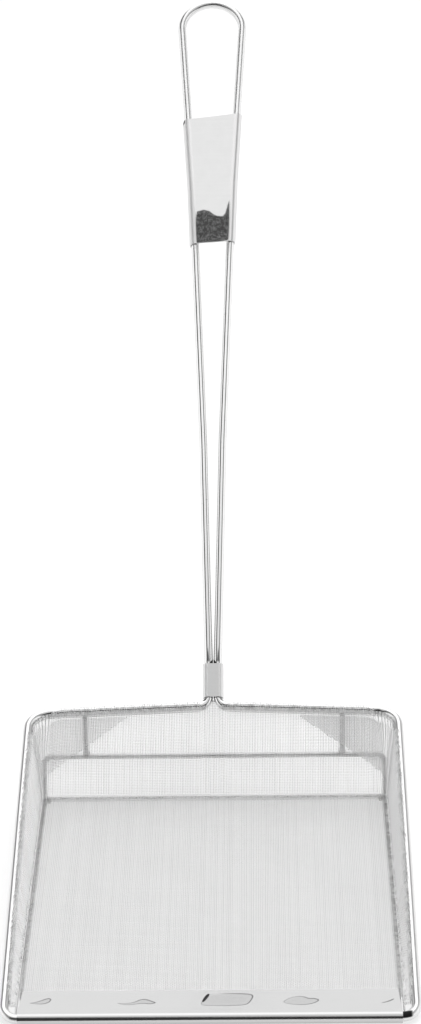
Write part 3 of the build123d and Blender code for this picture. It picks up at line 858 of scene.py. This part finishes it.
lip, columns_at, rows_at = plain_sheet("lip_strip", 620, len(line) - 1)
row = np.rint(rows_at * (len(line) - 1)).astype(int)
along, height = line[row].T
upper = row >= upper_start
across = (columns_at * 2 - 1) * lip_half
across *= 1 - lip_taper * np.clip((along - 0.001) / 0.018, 0, 1) * upper
depth = np.zeros_like(across)
mark = np.zeros_like(across)
for middle_x, middle_y, deep, outline in spot_marks:
    x, y = across * 1000 - middle_x, along * 1000 - middle_y
    near = upper & (np.abs(x) < 16) & (np.abs(y) < 8)
    inside = inside_of(outline, x[near], y[near])
    pressed_in = deep * np.clip(inside / 0.55, 0, 1) ** 0.8
    swollen = 0.03 * np.exp(-((inside + 0.35) / 0.35) ** 2) * (inside < 0.1)
    ring = np.exp(-((inside - 0.15) / 0.28) ** 2) * (0.70 + 0.28 * np.tanh(x[near] / 4))
    mark[near] = np.maximum(mark[near], np.maximum(ring, 0.16 * (inside > 0)))
    depth[near] += pressed_in * (1 - 0.35 * np.clip(inside / 2.5, 0, 1)) - swollen
x, y = across * 1000, along * 1000
near = upper & (np.abs(x) < 12) & (np.abs(y - 13) < 8)
streaked = np.clip(inside_of(streak, x[near], y[near]) / 0.2, 0, 1) * 1.2
mark[near] = np.maximum(mark[near], streaked)
bpy.ops.object.mode_set(mode="EDIT")
bpy.ops.mesh.select_all(action="DESELECT")
bpy.ops.object.mode_set(mode="OBJECT")
notched = (row < len(lower_flap)) & (np.abs(across) > lip_notch) & (along > 0.0015)
lip.data.vertices.foreach_set("select", notched)
bpy.ops.object.mode_set(mode="EDIT")
bpy.ops.mesh.delete(type="VERT")
bpy.ops.object.mode_set(mode="OBJECT")
places = np.stack([across, along, height - depth / 1000], 1)[~notched]
note(lip, "mark", mark[~notched])
pressed(lip, places, lip_thickness, lip_finish(), "lip_plate")


# Cradle, struts and cross wire. 3.2 mm plated wire, welded to the rim and to each other
# under and behind the cloth, which shows them as dark bands. The cradle and the struts
# are duller than the rim, and the cross wire under the crease is as bright.

def support_finish():
    """Duller plating on wire that no hand rubs bright."""
    material, steel = new_finish("dull_plated_wire")
    clouds = noise_at(steel, 80)
    draw_lines = noise_at(steel, 900, (1, 0.05, 1), detail=2.0)
    colour = (clouds * 0.6 + draw_lines * 0.4).mix(grey(0.62), grey(0.82))
    roughness = 0.22 + clouds * 0.14
    metal(steel, colour, roughness, draw_lines + clouds, 0.000012)
    return material


support_wire = support_finish()
for name in ("cradle_wire", "strut_left", "strut_right"):
    coat(name, support_wire)
coat("cross_wire", plated_wire)


# Weld beads. Small lumps of steel where the supporting wires are welded, left as they
# set: rippled, and greyer than the plating beside them.

def weld_finish():
    """Bare weld metal, rippled and partly sooty."""
    material, steel = new_finish("weld_bead")
    ripples = noise_at(steel, 1200, detail=2.0)
    # Here the mix is only the bead's own soot, with no painted light.
    soot_and_painted_dark = noise_at(steel, 500, detail=3.0)
    colour = soot_and_painted_dark.mix(grey(0.30, 0.03), grey(0.55, 0.01))
    roughness = 0.30 + soot_and_painted_dark * 0.2
    metal(steel, colour, roughness, ripples, 0.00008)
    return material


weld_metal = weld_finish()
for name in ("strut_welds", "cross_wire_welds", "cradle_welds"):
    coat(name, weld_metal)


# Studio floor. A wide sheet of white paper that keeps the object's soft shadow. Seen by
# the camera or in a shiny face, it mostly shines white by itself.

def floor_finish():
    """White paper, part lit and part shining."""
    material, paper = new_finish("paper_floor")
    seen = paper.math(
        "MAXIMUM", paper.node("ShaderNodeLightPath", {}, {}, "Is Camera Ray"),
        paper.node("ShaderNodeLightPath", {}, {}, "Is Glossy Ray"),
    )
    lit = paper.node("ShaderNodeBsdfDiffuse", {}, {"Color": grey(0.93)})
    white = paper.node("ShaderNodeEmission", {}, {"Color": grey(1.0), "Strength": 1.0})
    paper.node("ShaderNodeMixShader", {}, {0: seen * 0.7, 1: lit, 2: white}).to_output()
    return material


bpy.ops.object.select_all(action="DESELECT")
bpy.ops.mesh.primitive_plane_add(size=30, location=(0, 0, 0))
floor = bpy.context.object
floor.name = "studio_floor"
floor.data.materials.append(floor_finish())


# Dark card. A small card over the grip, which the camera sees only as the dark patch in
# the grip. Its outline is drawn on the grip and carried up along the way in which the
# grip reflects the camera's look.

camera_place = (0.0296, -0.9892, 0.7976)
card_height = 0.05           # above the grip
plate_top = 0.0032           # the grip's face, above the legs' centres
card_outline = [             # on the grip, across and along in millimetres
    (-10.1, 302.5), (-9.1, 309.7), (-5.3, 311.0), (-2.0, 310.3), (0.4, 308.2), (2.7, 306.8),
    (5.7, 306.4), (7.5, 308.4), (9.0, 313.9), (10.5, 318.0), (10.8, 322.2), (10.2, 310.5),
    (9.8, 291.3), (9.2, 290.0), (1.5, 289.1), (-5.6, 288.4), (-9.1, 288.2), (-10.1, 290.3),
]


def card_finish():
    """Black card with pale smears."""
    material, black = new_finish("dark_card")
    smears = noise_at(black, 620, (1, 0.6, 0.6), detail=4.0).within((0.47, 0.49), (0.50, 0.52))
    colour = smears.mix(grey(0.10), grey(0.42))
    black.node("ShaderNodeEmission", {}, {"Color": colour, "Strength": 1.0}).to_output()
    return material


across, along = (np.array(card_outline) / 1000).T
step = 0.00001
lean_x = (grip_hollow(across + step, along) - grip_hollow(across - step, along)) / (2 * step)
lean_y = (grip_hollow(across, along + step) - grip_hollow(across, along - step)) / (2 * step)
normal = handle_up + np.outer(lean_x, [1, 0, 0]) + np.outer(lean_y, handle_way)
normal /= np.linalg.norm(normal, axis=1)[:, None]
on_plate = on_handle(across, along, np.full_like(across, plate_top))
look = on_plate - camera_place
look /= np.linalg.norm(look, axis=1)[:, None]
away = look - 2 * (look * normal).sum(1)[:, None] * normal
corners = on_plate + away * (card_height / (away @ handle_up))[:, None]
bpy.ops.object.select_all(action="DESELECT")
bpy.ops.mesh.primitive_circle_add(vertices=len(corners), radius=0.01, fill_type="NGON")
card = bpy.context.object
card.name = "dark_card"
card.data.vertices.foreach_set("co", corners.ravel())
card.data.update()
card.data.materials.append(card_finish())
card.visible_camera = card.visible_diffuse = card.visible_shadow = False
card.visible_transmission = False


# Light and camera. A white tent with a brighter panel in its roof, a dark gap in either
# side wall and a dark doorway behind the camera, and one soft lamp. The camera itself
# sees plain white behind the object.

world = bpy.data.worlds.new("studio")
bpy.context.scene.world = world
world.use_nodes = True
world.node_tree.nodes.clear()
air = Finish(world.node_tree)
to_right, to_back, to_top = air.node("ShaderNodeTexCoord", {}, {}, "Generated").parts()
to_side = abs(to_right)
panel = to_back.within((0.0, 0.1), (0.62, 0.74)) * 0.45
roof = 0.86 + to_back.between(-0.31, -0.15) * 0.39 + panel
walls = to_side.between(0.38, 0.44)
gap = to_side.within((0.38, 0.44), (0.72, 0.80)) * to_top.between(0.2, 0.3)
gap = gap * (0.92 - to_right.between(-0.1, 0.1) * 0.18)
wide = (1 - to_right.between(-0.12, 0.06)) * (1 - to_side.between(0.2, 0.3))
doorway = (wide * 0.27 - to_back).between(0.66, 0.76) * to_top.between(-0.02, 0.03)
light = (roof * (1 - walls) + walls * 1.25) * (1 - gap) * (1 - doorway * 0.94)
seen = air.node("ShaderNodeLightPath", {}, {}, "Is Camera Ray")
colour = seen.mix(light, grey(1.0))
sky = air.node("ShaderNodeBackground", {}, {"Color": colour, "Strength": 1.0})
sky.to_output("ShaderNodeOutputWorld")

bpy.ops.object.light_add(type="AREA", location=(0.3, 0.8, 1.6))
lamp = bpy.context.object
lamp.name = "soft_lamp"
lamp.data.shape = "SQUARE"
lamp.data.size = 1.2
lamp.data.energy = 22.0
lamp.rotation_euler = (Vector((0, 0.2, 0)) - lamp.location).to_track_quat("-Z", "Y").to_euler()
lamp.visible_glossy = False

bpy.ops.object.camera_add(location=camera_place)
camera = bpy.context.object
camera.name = "camera"
camera.rotation_euler = (
    Matrix.Rotation(math.radians(1.38), 3, "Z")
    @ Matrix.Rotation(math.radians(90 - 27.68), 3, "X")
    @ Matrix.Rotation(math.radians(-1.26), 3, "Z")
).to_euler()
camera.data.sensor_fit = "VERTICAL"
camera.data.angle = math.radians(22.43)
bpy.context.scene.camera = camera
bpy.context.scene.view_settings.view_transform = "Standard"
